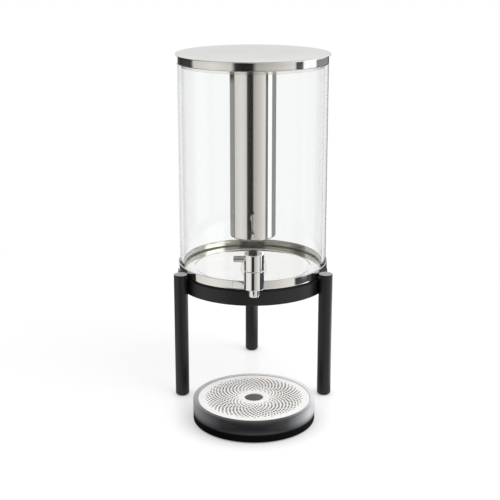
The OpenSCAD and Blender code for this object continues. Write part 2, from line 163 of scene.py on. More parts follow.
def outline(corners: list[Corner], closed: bool) -> np.ndarray:
    """Line through corners, with an arc where a corner has a fillet.

    The arc touches both sides at fillet times the tangent of half the turn from the corner. A point
    beside each of its ends keeps the flat sides flat in the shading.

    Args:
        corners: (radius, height) or (radius, height, fillet), counter-clockwise, in millimetres.
        closed: Whether the last corner leads back to the first.

    Returns:
        Array of (radius, height).
    """
    spots = np.array([corner[:2] for corner in corners], float)
    made: list[np.ndarray] = []
    for k, (spot, corner) in enumerate(zip(spots, corners)):
        if len(corner) < 3 or not closed and k in (0, len(spots) - 1):
            made.append(spot[None])
            continue
        fillet = corner[2]
        sides = np.stack([spots[k - 1], spots[(k + 1) % len(spots)]]) - spot
        lengths = np.linalg.norm(sides, axis=1, keepdims=True)
        sides = sides / lengths
        half = 0.5 * (math.pi - math.acos(float(np.clip(sides[0] @ sides[1], -1.0, 1.0))))
        reach = fillet * math.tan(half)
        inward = sides.sum(axis=0)
        middle = spot + inward / np.linalg.norm(inward) * fillet / math.cos(half)
        start, end = np.arctan2(*(spot + sides * reach - middle).T[::-1])
        sweep = (end - start + math.pi) % FULL_TURN - math.pi
        turn = start + sweep * np.linspace(0.0, 1.0, ARC_POINTS)
        arc = middle + fillet * np.stack([np.cos(turn), np.sin(turn)], axis=1)
        before, after = spot + sides * (reach + np.minimum(FLAT_GAP, FLAT_SHARE * (lengths - reach)))
        made += [before[None], arc, after[None]]
    return np.vstack(made)


def grid_faces(rows: int, columns: int, closed: bool) -> np.ndarray:
    """Faces of a grid whose columns run round and meet: (i, j), (i, j + 1), (i + 1, j + 1), (i + 1, j).

    Args:
        rows: Points along the outline.
        columns: Points round the axis.
        closed: Whether the last row leads back to the first.

    Returns:
        Array of (rows or rows - 1, columns, 4) indices.
    """
    i, j = np.meshgrid(np.arange(rows if closed else rows - 1), np.arange(columns), indexing="ij")
    up, on = (i + 1) % rows, (j + 1) % columns
    return np.stack([i * columns + j, i * columns + on, up * columns + on, up * columns + j], axis=-1)


def lathe(corners: list[Corner], closed: bool = False, turns: int = SMALL) -> Surface:
    """Outline turned about the Z axis: (r cos a, r sin a, z) for each outline point and angle.

    Args:
        corners: Corners for outline().
        closed: Whether the outline is a loop, as on a ring, or runs from the axis to the axis.
        turns: Points round the axis.

    Returns:
        The closed surface.
    """
    line = outline(corners, closed)
    across = line[:, None, :1] * circle(turns)
    height = np.repeat(line[:, None, 1:], turns, axis=1)
    points = np.concatenate([across, height], axis=-1).reshape(-1, 3)
    return Surface(points, grid_faces(len(line), turns, closed).reshape(-1, 4)).welded()


def threaded(surface: Surface, radius: float, span: Span, pitch: float, depth: float) -> Surface:
    """Thread cut into a rod along Z.

    The radius drops by depth (1 - cos(2 pi z / pitch - angle)) / 2, which fades out over the end pitches.

    Args:
        surface: The rod, with enough rows over the span.
        radius: Radius of the rod, whose other surfaces stay as they are.
        span: Lowest and highest Z of the thread.
        pitch: Rise of one turn.
        depth: Depth of the groove.

    Returns:
        The threaded surface.
    """
    x, y, z = surface.points.T
    r = np.hypot(x, y)
    fade = np.clip(np.minimum(z - span[0], span[1] - z) / pitch, 0.0, 1.0)
    wave = 0.5 - 0.5 * np.cos(FULL_TURN * z / pitch - np.arctan2(y, x))
    cut = np.where(np.abs(r - radius) < CLOSE, depth * wave * fade, 0.0)
    scale = 1.0 - cut / np.maximum(r, TINY)
    return Surface(np.stack([x * scale, y * scale, z], axis=1), surface.quads, surface.tris)


def ported_wall(wall: Ring, port_z: float, port: float) -> Surface:
    """Round wall with one round hole at the front.

    The wall is a grid of angle and height. Its columns and rows crowd to a square round the hole, where
    each point goes from the hole's circle to the square along one direction, and y = -sqrt(r^2 - x^2)
    lays it on the wall. A tunnel joins the two circles.

    Args:
        wall: Sizes of the wall.
        port_z: Height of the hole's axis.
        port: Radius of the hole.

    Returns:
        The closed surface.
    """
    bore, outer, low, high = wall
    half, steps, rings, columns = 2.0 * port, 12, 7, 361
    foot, rim = 0.4, 0.5
    across = half * np.tan(np.linspace(-math.pi / 4.0, math.pi / 4.0, steps + 1))
    rise = [(outer, port_z + v) for v in across]
    fall = [(bore, port_z + v) for v in across[::-1]]
    lower, upper = [(bore, low, foot), (outer, low, foot)], [(outer, high, rim), (bore, high, rim)]
    line = outline([*lower, *rise, *upper, *fall], True)
    radius, height = line[:, :1], line[:, 1:]
    edge = math.asin(half / outer)
    plain = np.linspace(edge, FULL_TURN - edge, columns)[1:-1]
    turn = np.hstack([np.arcsin(across / radius), np.repeat(plain[None], len(line), axis=0)])
    points = np.stack([radius * np.sin(turn), -radius * np.cos(turn), height + 0.0 * turn], axis=-1)
    faces = grid_faces(len(line), turn.shape[1], True)
    beside = np.abs(line[:, 1] - port_z) < half + TINY
    keep = np.ones(faces.shape[:2], bool)
    keep[np.ix_(beside & np.roll(beside, -1), np.arange(turn.shape[1]) < steps)] = False
    shell = Surface(points.reshape(-1, 3), faces[keep])

    ray = circle(4 * steps)
    square = half * ray / np.abs(ray).max(axis=1, keepdims=True)
    part = np.linspace(0.0, 1.0, rings)[:, None, None]
    flat = (1.0 - part) * port * ray + part * square

    def laid(size: float, plan: np.ndarray) -> np.ndarray:
        """Points of the plan (x, z) laid on the wall of that radius."""
        x, z = plan[..., 0], plan[..., 1]
        return np.stack([x, -np.sqrt(size * size - x * x), z + port_z], axis=-1).reshape(-1, 3)

    around = grid_faces(rings, 4 * steps, False).reshape(-1, 4)
    outside, inside = Surface(laid(outer, flat), around[:, ::-1]), Surface(laid(bore, flat), around)
    ends = np.vstack([laid(outer, port * ray), laid(bore, port * ray)])
    tunnel = Surface(ends, grid_faces(2, 4 * steps, False).reshape(-1, 4))
    return (shell + outside + inside + tunnel).welded()


def pierced_disc(disc: Ring, holes: np.ndarray, sides: int) -> Surface:
    """Flat disc with many round holes.

    Each hole is a ring of points (x + r cos a, y + r sin a). Both faces are one constrained triangulation of
    these rings, the finger hole and the rim, without the triangles whose middle lies in a hole, and a band
    of quads joins the two faces in each hole. The finger hole and the rim have rounded edges.

    Args:
        disc: Sizes of the disc and its finger hole.
        holes: Array of (x, y, radius).
        sides: Points round each hole.

    Returns:
        The closed surface.
    """
    inner, outer, low, high = disc
    ease, within = 0.3, 0.98
    soft = 0.9 * ease
    small = (holes[:, None, :2] + holes[:, None, 2:] * circle(sides)).reshape(-1, 2)
    base, ring = len(small), circle(LARGE)
    plan = np.vstack([small, ring * (inner + ease), ring * (outer - ease)])

    def loop(start: int, count: int) -> np.ndarray:
        """Edges round a ring of points that starts at that index."""
        spot = np.arange(count)
        return np.stack([start + spot, start + (spot + 1) % count], axis=1)

    def level(spots: np.ndarray, height: float) -> np.ndarray:
        """Points (x, y) at that height."""
        return np.hstack([spots, np.full((len(spots), 1), height)])

    loops = (np.arange(len(holes))[:, None, None] * sides + loop(0, sides)).reshape(-1, 2)
    edges = np.vstack([loops, loop(base, LARGE), loop(base + LARGE, LARGE)])
    spots, _, cells, *_ = delaunay_2d_cdt(plan.tolist(), edges.tolist(), [], 0, TINY, False)
    flat, cells = np.array(spots), np.array(cells)
    middle = flat[cells].mean(axis=1)
    gap = np.hypot(*(middle[:, None] - holes[:, :2]).transpose(2, 0, 1)) - holes[:, 2] * within
    cells = cells[(gap.min(axis=1) > 0.0) & (np.hypot(*middle.T) > inner + 0.5 * ease)]
    one, two, three = flat[cells].transpose(1, 2, 0)
    (ax, ay), (bx, by) = two - one, three - one
    under = ax * by < ay * bx
    cells[under] = cells[under][:, ::-1]

    none = np.zeros((0, 4), int)
    faces = Surface(level(flat, high), none, cells) + Surface(level(flat, low), none, cells[:, ::-1])
    start, end = loops.T
    walls = np.stack([end, start, start + base, end + base], axis=1)
    bores = Surface(np.vstack([level(small, low), level(small, high)]), walls)
    rim = [(outer - ease, low), (outer, low, soft), (outer, high, soft), (outer - ease, high)]
    lip = [(inner + ease, high), (inner, high, soft), (inner, low, soft), (inner + ease, low)]
    return (faces + bores + lathe(rim, turns=LARGE) + lathe(lip, turns=LARGE)).welded()


# Finishes

WHITE = (1.0, 1.0, 1.0)
BLACK = (0.0, 0.0, 0.0)
MIDDLE = (0.3, 0.7)
WARM_RED = 0.03
WARM_BLUE = 0.05
LINE_DETAIL = 3.0
WIDE_DETAIL = 3.0
EASED = "SMOOTHSTEP"


class Grain(Enum):
    """How a metal's fine lines run, with their number per metre along X, Y and Z or outwards."""

    PLAIN = (60.0, 60.0, 60.0)
    BANDS = (5.0, 5.0, 480.0)
    DRAWN = (700.0, 700.0, 4.0)
    TURNED = (1500.0,)


class Shader:
    """A node tree, with short calls for the nodes that the finishes share."""

    def __init__(self, tree: bpy.types.NodeTree) -> None:
        """Empties the tree."""
        self.tree = tree
        tree.nodes.clear()

    def add(self, kind: str, inputs: dict | None = None, **settings: object) -> bpy.types.Node:
        """A new node, with its settings and inputs.

        Args:
            kind: Blender's name for the node, after ShaderNode.
            inputs: Values or sockets for its inputs, by name or number. One number will do for a vector.
            settings: Values for its properties.

        Returns:
            The node.
        """
        node = self.tree.nodes.new("ShaderNode" + kind)
        for key, value in settings.items():
            setattr(node, key, value)
        for key, value in (inputs or {}).items():
            socket = node.inputs[key]
            if isinstance(value, Socket):
                self.tree.links.new(value, socket)
            elif socket.type == "VECTOR" and isinstance(value, float):
                socket.default_value = (value, value, value)
            else:
                socket.default_value = (*value, 1.0) if socket.type == "RGBA" else value
        return node

    def math(self, operation: str, *values: object) -> Socket:
        """The result of a Math node."""
        return self.add("Math", dict(enumerate(values)), operation=operation).outputs[0]

    def fold(self, operation: str, *values: object) -> Socket:
        """The result of Math nodes in a row, as for the product or the greatest of many values."""
        return reduce(lambda one, two: self.math(operation, one, two), values)

    def flip(self, value: Socket) -> Socket:
        """1 minus a value."""
        return self.math("SUBTRACT", 1.0, value)

    def place(self) -> Socket:
        """The point on the piece, in metres, in the part's own frame."""
        return self.add("TexCoord").outputs["Object"]

    def normal(self) -> Socket:
        """The direction that the surface looks in."""
        return self.add("NewGeometry").outputs["Normal"]

    def vector(self, operation: str, *values: object) -> Socket:
        """The result of a Vector Math node."""
        return self.add("VectorMath", dict(enumerate(values)), operation=operation).outputs[0]

    def split(self, vector: Socket) -> tuple[Socket, ...]:
        """The X, Y and Z of a vector."""
        return tuple(self.add("SeparateXYZ", {0: vector}).outputs)

    def radius(self, centre: Span) -> Socket:
        """Distance from an upright axis at an X and Y, in metres."""
        x, y, _ = self.split(self.vector("SUBTRACT", self.place(), (*centre, 0.0)))
        return self.math("SQRT", self.math("ADD", self.math("MULTIPLY", x, x), self.math("MULTIPLY", y, y)))

    def noise(self, fine: float | Place, detail: float = 2.0) -> Socket:
        """Noise about 0.5, with so many features per metre, the same all ways or along X, Y and Z."""
        spot = self.add("Mapping", {"Vector": self.place(), "Scale": fine}).outputs[0]
        return self.add("TexNoise", {"Vector": spot, "Scale": 1.0, "Detail": detail}).outputs[0]

    def remap(self, value: object, low: float = 0.0, high: float = 1.0,
              span: tuple[object, object] = MIDDLE, way: str = "LINEAR") -> Socket:
        """A value in a span becomes one between low and high, in one of Blender's ways."""
        inputs = {"Value": value, "From Min": span[0], "From Max": span[1], "To Min": low, "To Max": high}
        return self.add("MapRange", inputs, interpolation_type=way).outputs[0]

    def fade(self, value: object, *span: object) -> Socket:
        """Eases from 0 to 1 over a span."""
        return self.remap(value, 0.0, 1.0, span, EASED)

    def drop(self, value: object, *span: object) -> Socket:
        """Eases from 1 to 0 over a span."""
        return self.remap(value, 1.0, 0.0, span, EASED)

    def ramp(self, value: Socket, stops: list[tuple[float, ...]]) -> Socket:
        """Grey ramp, with a touch of warmth where a stop asks for it.

        Args:
            value: The socket that runs along the ramp.
            stops: (place, brightness) or (place, brightness, warmth from -1 to 1) in order.

        Returns:
            The colour's socket.
        """
        node = self.add("ValToRGB", {0: value})
        marks = node.color_ramp.elements
        for number, (place, light, *rest) in enumerate(stops):
            warm = rest[0] if rest else 0.0
            mark = marks[number] if number < 2 else marks.new(place)
            mark.position = place
            mark.color = (light * (1.0 + WARM_RED * warm), light, light * (1.0 - WARM_BLUE * warm), 1.0)
        return node.outputs[0]

    def mix(self, share: object, first: object, second: object, way: str = "MIX") -> Socket:
        """A mix of two colours, with the share of the second."""
        return self.add("Mix", {0: share, 6: first, 7: second}, data_type="RGBA", blend_type=way).outputs[2]

    def bump(self, height: Socket, strength: float, depth: float, **over: Socket) -> Socket:
        """A normal that follows a height, depth metres where it is 1, on top of another Normal if given."""
        inputs = {"Height": height, "Strength": strength, "Distance": depth, **over}
        return self.add("Bump", inputs).outputs[0]

    def principled(self, **inputs: object) -> Socket:
        """A Principled shader, with its inputs by name and _ for a space."""
        named = {key.replace("_", " "): value for key, value in inputs.items()}
        return self.add("BsdfPrincipled", named).outputs[0]

    def glow(self, colour: object, strength: float = 1.0) -> Socket:
        """A shader that shines by itself."""
        return self.add("Emission", {"Color": colour, "Strength": strength}).outputs[0]

    def blend(self, share: object, first: object, second: object) -> Socket:
        """A mix of two shaders, with the share of the second."""
        return self.add("MixShader", {0: share, 1: first, 2: second}).outputs[0]

    def show(self, surface: Socket) -> None:
        """Makes the shader the surface of the material."""
        self.add("OutputMaterial", {"Surface": surface})


@dataclass(frozen=True)
class Finish:
    """What every finish has: its name and the slot that it stands for."""

    name: str
    slot: str

    def build(self, shader: Shader) -> None:
        """Builds the material's nodes."""
        raise NotImplementedError


@dataclass(frozen=True)
class Metal(Finish):
    """Bare or plated metal, with a fine grain and a faint haze."""

    colour: Colour = (0.83, 0.825, 0.81)
    shade: Colour = (0.79, 0.785, 0.77)
    smooth: float = 0.03
    rough: float = 0.08
    metal: float = 1.0
    grain: Grain = Grain.PLAIN
    depth: float = 0.00001
    wave: float = 0.0
    centre: Span = (0.0, STAND_Y * MM)
    haze: float = 14.0
    ripple: Place = (90.0, 90.0, 40.0)
    line_share: float = 0.6
    relief: float = 0.5

    def build(self, shader: Shader) -> None:
        """Lines drive roughness, a shallow bump and, with a wide haze, the colour. Thin sheet ripples.

        Args:
            shader: Where the nodes go.
        """
        if self.grain is Grain.TURNED:
            reach = shader.math("MULTIPLY", shader.radius(self.centre), *self.grain.value)
            inputs = {"W": reach, "Scale": 1.0, "Detail": LINE_DETAIL}
            lines = shader.add("TexNoise", inputs, noise_dimensions="1D").outputs[0]
        else:
            lines = shader.noise(self.grain.value, LINE_DETAIL)
        haze = shader.math("MULTIPLY", shader.noise(self.haze, WIDE_DETAIL), 1.0 - self.line_share)
        tone = shader.math("MULTIPLY_ADD", lines, self.line_share, haze)
        normal = shader.bump(lines, self.relief, self.depth)
        if self.wave > 0.0:
            normal = shader.bump(shader.noise(self.ripple, 1.0), 1.0, self.wave, Normal=normal)
        shader.show(shader.principled(
            Base_Color=shader.mix(shader.remap(tone), self.shade, self.colour),
            Metallic=self.metal,
            Roughness=shader.remap(lines, self.smooth, self.rough),
            Normal=normal,
        ))


@dataclass(frozen=True)
class PowderCoat(Finish):
    """Black satin powder coat, with the fine peel that such a coat has."""

    colour: Colour = (0.0035, 0.0037, 0.0042)
    pale: Colour = (0.0055, 0.0057, 0.0063)
    # Pale colour of the painted sheen on the legs' upward tops, in place of the light they catch.
    painted_top_sheen: Colour = (0.38, 0.385, 0.39)
    leg_end: float = 0.169
    level: Span = (0.75, 0.99)
    peel: float = 1100.0
    mottle: float = 25.0
    smooth: float = 0.44
    rough: float = 0.50
    shine: float = 0.5
    relief: float = 0.35
    depth: float = 0.00012

    def build(self, shader: Shader) -> None:
        """A fine noise gives the peel, and a wide one varies the tone. The legs' upward tops get a painted
        sheen.

        Args:
            shader: Where the nodes go.
        """
        wide = shader.noise(self.mottle, WIDE_DETAIL)
        # Painted sheen: faces above the legs' ends that look up take the pale colour.
        end = shader.math("GREATER_THAN", shader.split(shader.place())[2], self.leg_end)
        end = shader.math("MULTIPLY", end, shader.fade(shader.split(shader.normal())[2], *self.level))
        black = shader.mix(shader.remap(wide), self.colour, self.pale)
        shader.show(shader.principled(
            Base_Color=shader.mix(end, black, self.painted_top_sheen),
            Roughness=shader.remap(wide, self.smooth, self.rough),
            Specular_IOR_Level=self.shine,
            Normal=shader.bump(shader.noise(self.peel), self.relief, self.depth),
        ))


@dataclass(frozen=True)
class Clear(Finish):
    """Clear plastic or silicone, with a haze. Lamps shine through it."""

    colour: Colour
    index: float
    haze: float | Place
    detail: float
    smooth: float
    rough: float

    def build(self, shader: Shader) -> None:
        """Rays from the lamps pass a Transparent shader, and all others the clear body.

        Args:
            shader: Where the nodes go.
        """
        body = shader.principled(
            Base_Color=self.colour,
            Roughness=shader.remap(shader.noise(self.haze, self.detail), self.smooth, self.rough),
            IOR=self.index,
            Transmission_Weight=1.0,
        )
        lamp, through = shader.add("LightPath"), shader.add("BsdfTransparent")
        shader.show(shader.blend(lamp.outputs["Is Shadow Ray"], body, through.outputs[0]))


@dataclass(frozen=True)
class FrostedSmoke(Finish):
    """Smoky plastic with a frosted skin: deep where one looks into it, pale from inside, and with painted
    light at a slant and on top.
    """

    deep: Colour = (0.014, 0.0145, 0.016)
    # Painted sheen colour that the wall takes at a slant.
    pale: Colour = (0.57, 0.58, 0.60)
    # Painted highlight colour for faces that look up.
    painted_top_light: Colour = (0.80, 0.81, 0.83)
    foot: Colour = (0.002, 0.002, 0.0022)
    lining: Colour = (0.62, 0.61, 0.60)
    low: float = 0.010
    high: float = 0.0286
    inner: float = 0.0726
    away: float = 0.58
    frost: float = 700.0
    cloud: Place = (30.0, 30.0, 60.0)
    cloudy: float = 0.01
    # Painted sheen strength from low to high on the wall, over the heights in shade_rise.
    shade: Span = (0.35, 1.0)
    shade_rise: Span = (0.05, 0.55)
    # Painted light: the sheen is scaled over X, brighter on the right, where the lamp is.
    side: Span = (0.62, 1.36)
    painted_lamp_side_span: Span = (-0.07, 0.07)
    level: Span = (0.3, 0.9)
    foot_rise: Span = (0.02, 0.14)
    smooth: float = 0.36
    rough: float = 0.46
    shine: float = 0.12
    relief: float = 0.3
    depth: float = 0.00008
    by_height: tuple[Span, ...] = (
        (0.10, 0.06), (0.24, 0.03), (0.42, 0.0), (0.60, 0.0), (0.81, 0.02), (0.96, 0.06),
    )
    # Painted sheen: share of the pale colour by the slant of the skin.
    painted_slant_sheen: tuple[Span, ...] = (
        (0.10, 0.0), (0.24, 0.06), (0.36, 0.24), (0.46, 0.42), (0.56, 0.62), (0.66, 0.76), (0.85, 0.95),
        (1.0, 1.0),
    )

    def build(self, shader: Shader) -> None:
        """The depth of colour follows the height and the slant of the skin, and a fine noise frosts it.

        The slant is that of the normal plus a share of the direction away from the tray's axis: on top of the
        wall one looks into the depth on the near side, and to the light on the far side. The paleness at a
        slant is a painted sheen, stronger on the right, where the lamp is, and higher up on the wall. Faces
        that look up get a paler painted highlight.

        Args:
            shader: Where the nodes go.
        """
        frost = shader.noise(self.frost)
        x, y, z = shader.split(shader.place())
        height = shader.remap(z, span=(self.low, self.high))
        away = shader.add("CombineXYZ", {0: x, 1: shader.math("SUBTRACT", y, TAP_Y * MM)}).outputs[0]
        leaned = shader.vector("MULTIPLY_ADD", shader.vector("NORMALIZE", away), self.away, shader.normal())
        leaned = shader.vector("NORMALIZE", leaned)
        # Painted sheen: Layer Weight's facing sets how pale the colour is.
        slant = shader.add("LayerWeight", {"Blend": 0.5, "Normal": leaned}).outputs["Facing"]
        # Painted light: the sheen fades lower on the wall and grows towards the right, where the lamp is.
        upper = shader.remap(height, *self.shade, self.shade_rise, EASED)
        right = shader.remap(x, *self.side, self.painted_lamp_side_span)
        sheen = shader.fold("MULTIPLY", shader.ramp(slant, self.painted_slant_sheen), upper, right)
        share = shader.math("MAXIMUM", shader.ramp(height, self.by_height), sheen)
        share = shader.math("ADD", share, shader.remap(shader.noise(self.cloud), -self.cloudy, self.cloudy))
        # Painted highlight: faces that look up, such as the rim, take the paler colour.
        top = shader.fade(shader.split(shader.normal())[2], *self.level)
        skin = shader.mix(share, self.deep, shader.mix(top, self.pale, self.painted_top_light))
        skin = shader.mix(shader.fade(height, *self.foot_rise), self.foot, skin)
        within = shader.math("LESS_THAN", shader.radius((0.0, TAP_Y * MM)), self.inner)
        shader.show(shader.principled(
            Base_Color=shader.mix(within, skin, self.lining),
            Roughness=shader.remap(frost, self.smooth, self.rough),
            Specular_IOR_Level=self.shine,
            Normal=shader.bump(frost, self.relief, self.depth),
        ))


@dataclass(frozen=True)
class Plastic(Finish):
    """Moulded plastic or rubber, with a fine spark-eroded grain."""

    colour: Colour
    pale: Colour
    rough: float
    shine: float
    smoother: float = 0.05
    rougher: float = 0.08
    grain: float = 1500.0
    mottle: float = 35.0
    relief: float = 0.3
    depth: float = 0.00008

    def build(self, shader: Shader) -> None:
        """A fine noise gives the grain, and a wide one varies the colour.

        Args:
            shader: Where the nodes go.
        """
        fine, wide = shader.noise(self.grain), shader.noise(self.mottle, WIDE_DETAIL)
        shader.show(shader.principled(
            Base_Color=shader.mix(shader.remap(wide), self.colour, self.pale),
            Roughness=shader.remap(fine, self.rough - self.smoother, self.rough + self.rougher),
            Specular_IOR_Level=self.shine,
            Normal=shader.bump(fine, self.relief, self.depth),
        ))


POLISHED = Metal("polished steel", "polished_steel")
PRESSED = Metal("pressed pan steel", "polished_steel", wave=0.00012)
# Painted shade: a darker, olive copy of the pan's steel for the inside faces of its wall.
PAN_WALL_PAINTED_SHADE = Metal("pan wall painted shade", "polished_steel", (0.66, 0.65, 0.58), (0.50, 0.49, 0.42), 0.07, 0.20,
               metal=0.86, grain=Grain.BANDS, depth=0.00003)
BANDED = Metal("polished lid steel", "polished_steel", shade=(0.62, 0.615, 0.60), smooth=0.03, rough=0.09,
               grain=Grain.BANDS, depth=0.00003)
DRAWN = Metal("polished tube steel", "polished_steel", smooth=0.02, rough=0.06, grain=Grain.DRAWN,
              depth=0.000004)
CHROME = Metal("chrome plate", "chrome", (0.88, 0.88, 0.885), (0.86, 0.86, 0.865), 0.02, 0.04, depth=0.000002)
NICKEL = Metal("nickel plate", "chrome", (0.64, 0.62, 0.56), (0.58, 0.56, 0.50), 0.03, 0.06, depth=0.000002)
BRASS = Metal("turned brass", "brass", (0.75, 0.56, 0.26), (0.66, 0.48, 0.21), 0.16, 0.28,
              grain=Grain.BANDS, depth=0.00003)
OXIDE = Metal("blackened steel", "dark_steel", (0.065, 0.065, 0.07), (0.045, 0.045, 0.05), 0.30, 0.45,
              depth=0.00005)
SATIN = Metal("satin grille steel", "pale_steel", (0.99, 0.99, 0.98), (0.965, 0.965, 0.955), 0.42, 0.55,
              metal=0.06, grain=Grain.TURNED, depth=0.00002, centre=(0.0, TAP_Y * MM))
COAT = PowderCoat("black powder coat", "black_coat")
WALL = Clear("clear acrylic", "clear_wall", (0.965, 0.969, 0.969), index=1.25, haze=(30.0, 30.0, 6.0),
             detail=3.0, smooth=0.0, rough=0.004)
SILICONE = Clear("translucent silicone", "silicone", (0.90, 0.89, 0.85), index=1.41, haze=300.0,
                 detail=2.0, smooth=0.10, rough=0.20)
SMOKE = FrostedSmoke("frosted smoky plastic", "smoky_plastic")
FLOOR = Plastic("tray floor plastic", "smoky_plastic", (0.60, 0.59, 0.58), (0.66, 0.65, 0.64), 0.5, 0.3)
FOOT = Plastic("black tray plastic", "black_plastic", (0.0016, 0.0016, 0.0018), (0.0028, 0.0028, 0.003),
               0.6, 0.06)
BURNT = Plastic("burnt hole edge", "pale_steel", (0.19, 0.09, 0.04), (0.25, 0.12, 0.06), 0.5, 0.2)
RUBBER = Plastic("black rubber", "black_rubber", (0.010, 0.010, 0.010), (0.016, 0.016, 0.016), 0.7, 0.25)


# The workshop that makes and dresses pieces


@dataclass
class Workshop:
    """Turns surfaces into pieces, dresses them and the CAD nodes, and keeps one material for each finish."""

    nodes: dict[str, bpy.types.Object]
    pieces: dict[str, bpy.types.Object] = field(default_factory=dict)
    materials: dict[Finish, bpy.types.Material] = field(default_factory=dict)

    def material(self, finish: Finish) -> bpy.types.Material:
        """The material of a finish, made at its first use.

        Args:
            finish: The finish.

        Returns:
            Its material.
        """
        if finish not in self.materials:
            made = bpy.data.materials.new(finish.name)
            made.use_nodes = True
            finish.build(Shader(made.node_tree))
            self.materials[finish] = made
        return self.materials[finish]

    def piece(self, name: str, surface: Surface, finish: Finish, body: str, *replaces: str) -> None:
        """Makes a new piece that rides on a body.

        Args:
            name: Name of the piece.
            surface: Its shape, in the part's frame.
            finish: Its finish.
            body: The body that it moves with.
            replaces: CAD nodes that it stands for.
        """
        mesh = surface.mesh(name)
        mesh.materials.append(self.material(finish))
        made = bpy.data.objects.new(name, mesh)
        bpy.context.scene.collection.objects.link(made)
        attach(made, body)
        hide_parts(*replaces)
        self.pieces[name] = made
        LOG.info("%s: %d faces, %s, on %s", name, len(mesh.polygons), finish.name, body)

    def facing(self, name: str, centre_y: float) -> tuple[np.ndarray, np.ndarray, np.ndarray]:
        """Where a piece's faces lie round an upright axis at x = 0, and which way they look.

        Args:
            name: Name of the piece.
            centre_y: Y of the axis, in millimetres.

        Returns:
            For each face its distance from the axis, and how far it looks outwards and up, from -1 to 1.
        """
        faces = self.pieces[name].data.polygons
        spots, sides = np.zeros((2, 3 * len(faces)))
        faces.foreach_get("center", spots)
        faces.foreach_get("normal", sides)
        x, y = spots[0::3] / MM, spots[1::3] / MM - centre_y
        away = np.maximum(np.hypot(x, y), TINY)
        return away, (sides[0::3] * x + sides[1::3] * y) / away, sides[2::3]

    def line(self, name: str, finish: Finish, faces: np.ndarray) -> None:
        """Gives some of a piece's faces a finish of their own.

        Args:
            name: Name of the piece.
            finish: The finish.
            faces: True for each face that gets it.
        """
        mesh = self.pieces[name].data
        mesh.materials.append(self.material(finish))
        mesh.polygons.foreach_set("material_index", faces.astype(np.int32))

    def dress(self, finish: Finish, *nodes: str) -> None:
        """Gives CAD nodes a finish.

        Args:
            finish: The finish.
            nodes: Names of the nodes.
        """
        for name in nodes:
            for spot in self.nodes[name].material_slots:
                spot.material = self.material(finish)
            LOG.info("%s: CAD node in %s", name, finish.name)


# The sub-assemblies, with sizes in millimetres


@dataclass
class Assembly:
    """What every sub-assembly has: the workshop that makes its pieces."""

    shop: Workshop


@dataclass
class Stand(Assembly):
    """Black band on three legs, with a gasket on top."""

    band: Ring = Ring(96.8, 102.8, 142.6, 161.6)
    gasket: Ring = Ring(97.8, 101.8, 161.6, 163.2)
    leg: Ring = Ring(6.55, 9.25, 1.4, 171.4)
    glide_top: float = 6.45
    leg_circle: float = 111.45
    legs: tuple[tuple[str, float], ...] = (("left", 210.0), ("right", 330.0), ("back", 90.0))

    def build(self) -> None:
        """Makes the band, the gasket and the legs, which have a recess for their glides."""
        band, seat = lathe(self.band.corners(0.7), True, LARGE), lathe(self.gasket.corners(0.3), True, LARGE)
        self.shop.piece("band", band.placed(STAND_AXIS), COAT, "stand", "stand_ring")
        self.shop.piece("gasket", seat.placed(STAND_AXIS), RUBBER, "stand", "seat_gasket")
        (bore, r, low, top), roof = self.leg, self.glide_top
        leg = lathe([(0.0, roof), (bore, roof), (bore, low), (r, low, 1.6), (r, top, 0.7), (0.0, top)])
        for side, degrees in self.legs:
            way = math.radians(degrees)
            spot = (self.leg_circle * math.cos(way), STAND_Y + self.leg_circle * math.sin(way), 0.0)
            self.shop.piece(f"leg_post_{side}", leg.placed(spot), COAT, "stand", f"leg_{side}")

    def dress(self) -> None:
        """Finishes the screws and the glides."""
        self.shop.dress(OXIDE, "leg_screws")
        self.shop.dress(RUBBER, "leg_feet")


@dataclass
class Container(Assembly):
    """Steel pan with a clear cylinder in it."""

    wall: Ring = Ring(95.0, 100.0, 166.2, 446.2)
    port_z: float = 193.5
    port: float = 6.9
    pan_radius: float = 101.8
    pan_low: float = 163.2
    pan_rim: float = 176.0
    sheet: float = 1.5
    floor: float = 166.9
    floor_edge: float = 94.6
    bead: float = 78.6
    bead_width: float = 1.6
    bead_high: float = 0.5
    inward: float = -0.7

    def build(self) -> None:
        """Makes the pan, with a bead on its floor and a channel for the cylinder, and the cylinder."""
        r, low, rim, sheet, floor = self.pan_radius, self.pan_low, self.pan_rim, self.sheet, self.floor
        edge, bead, width = self.floor_edge, self.bead, self.bead_width
        pan = lathe([
            (0.0, floor - sheet), (edge - sheet, floor - sheet, 0.5), (edge - sheet, low, 0.5), (r, low, 2.5),
            (r, rim, 0.74), (r - sheet, rim, 0.74), (r - sheet, low + sheet, 0.8), (edge, low + sheet, 0.5),
            (edge, floor, 0.8), (bead + width, floor, 1.0), (bead, floor + self.bead_high, 1.0),
            (bead - width, floor, 1.0), (0.0, floor),
        ], turns=LARGE)
        self.shop.piece("pan", pan.placed(STAND_AXIS), PRESSED, "container", "base_pan")
        wall = ported_wall(self.wall, self.port_z, self.port)
        self.shop.piece("clear_cylinder", wall.placed(STAND_AXIS), WALL, "container", "cylinder")

    def dress(self) -> None:
        """Gives the inside of the pan's wall a painted shade, a darker olive steel, and finishes the seal
        under the cylinder.
        """
        away, outwards, _ = self.shop.facing("pan", STAND_Y)
        self.shop.line("pan", PAN_WALL_PAINTED_SHADE, (away > self.wall.outer) & (outwards < self.inward))
        self.shop.dress(SILICONE, "base_seal")


